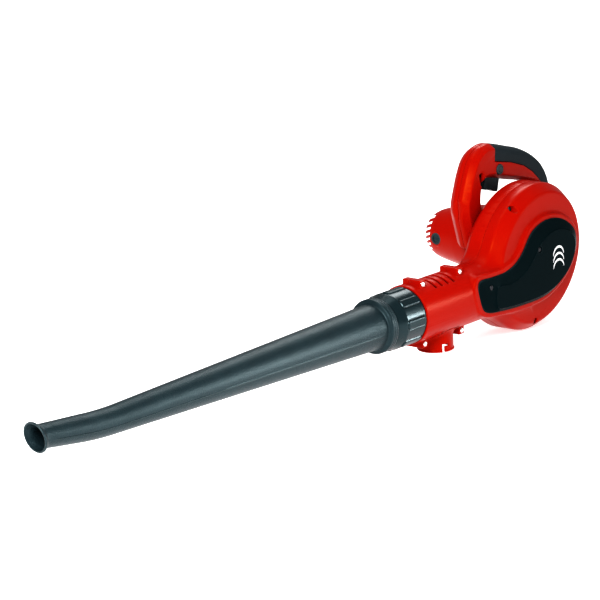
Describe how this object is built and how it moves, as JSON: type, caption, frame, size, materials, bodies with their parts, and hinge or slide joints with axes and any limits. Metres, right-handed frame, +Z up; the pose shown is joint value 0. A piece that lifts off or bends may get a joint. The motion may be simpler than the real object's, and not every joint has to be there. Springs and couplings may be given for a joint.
{
  "type": "leaf blower",
  "caption": "Electric hand-held leaf blower with scroll fan housing, rear D-handle with soft grip, motor drum and long tapered blower tube.",
  "frame": {"origin": "centre of the accessory port's rim, under the outlet duct", "axes": "-X is the blowing direction, -Y the side-cover side, +Y the motor side, +Z up"},
  "size_m": [1.1355, 0.223, 0.2814],
  "materials": {
    "red_plastic": "satin to glossy injection-moulded ABS",
    "black_plastic": "fine-textured moulded polypropylene",
    "cover_plastic": "satin moulded plastic",
    "mark_white": "printed mark",
    "soft_rubber": "soft-touch over-mould",
    "screw_steel": "bright zinc",
    "dark_screw": "black oxide",
    "steel": "ground",
    "laminations": "lacquered laminations",
    "copper": "enamelled copper",
    "brass": "drawn",
    "carbon": "graphite block",
    "alloy": "die cast",
    "film": "epoxy dipped",
    "lead_red": "PVC insulation",
    "felt": "felt strip"
  },
  "bodies": {
    "housing": {"near_housing": "red_plastic", "far_housing": "red_plastic", "accessory_port": "red_plastic", "side_cover": "cover_plastic", "cover_badge": "mark_white", "intake_grille": "red_plastic", "bearing_plate": "alloy", "front_bearing": "steel", "rear_bearing": "steel", "bearing_cushion": "soft_rubber", "motor_housing": "red_plastic", "stator_core": "laminations", "field_coils": "copper", "brush_holders": "brass", "carbon_brushes": "carbon", "brush_springs": "steel", "brush_caps": "black_plastic", "handle_near": "red_plastic", "handle_far": "red_plastic", "soft_grip": "soft_rubber", "switch_body": "black_plastic", "capacitor": "film", "motor_leads": "lead_red", "trigger_spring": "steel", "lock_spring": "steel", "cord_inlet": "black_plastic", "tube_seal": "felt", "duct_screws": "screw_steel", "housing_screws": "dark_screw", "cover_screws": "dark_screw", "handle_screws": "dark_screw", "motor_screws": "dark_screw"},
    "rotor": {"motor_shaft": "steel", "armature_core": "laminations", "armature_windings": "copper", "commutator": "copper", "cooling_fan": "black_plastic", "shaft_spacer": "steel", "impeller": "black_plastic", "impeller_washer": "steel", "impeller_nut": "steel"},
    "trigger_body": {"trigger": "black_plastic"},
    "lock_body": {"lock_button": "soft_rubber"},
    "collar_body": {"tube_collar": "black_plastic"},
    "tube_body": {"blower_tube": "black_plastic"}
  },
  "joints": [
    {"name": "rotor_spin", "type": "hinge", "parent": "housing", "child": "rotor", "pos_m": [0.225, 0, 0.112], "axis": [0, 1, 0], "continuous": true},
    {"name": "trigger_press", "type": "slide", "parent": "housing", "child": "trigger_body", "axis": [0.2588, 0, 0.9659], "range_m": [0, 0.005], "stiffness_N_per_m": 900, "springref_m": -0.004, "deforming": ["trigger_spring"]},
    {"name": "lock_press", "type": "slide", "parent": "housing", "child": "lock_body", "axis": [0, 1, 0], "range_m": [0, 0.003], "stiffness_N_per_m": 600, "springref_m": -0.003, "deforming": ["lock_spring"]},
    {"name": "collar_turn", "type": "hinge", "parent": "housing", "child": "collar_body", "pos_m": [0, 0, 0.0655], "axis": [1, 0, 0], "range_deg": [0, 30]},
    {"name": "tube_pull", "type": "slide", "parent": "collar_body", "child": "tube_body", "axis": [-1, 0, 0], "range_m": [0, 0.045]}
  ]
}
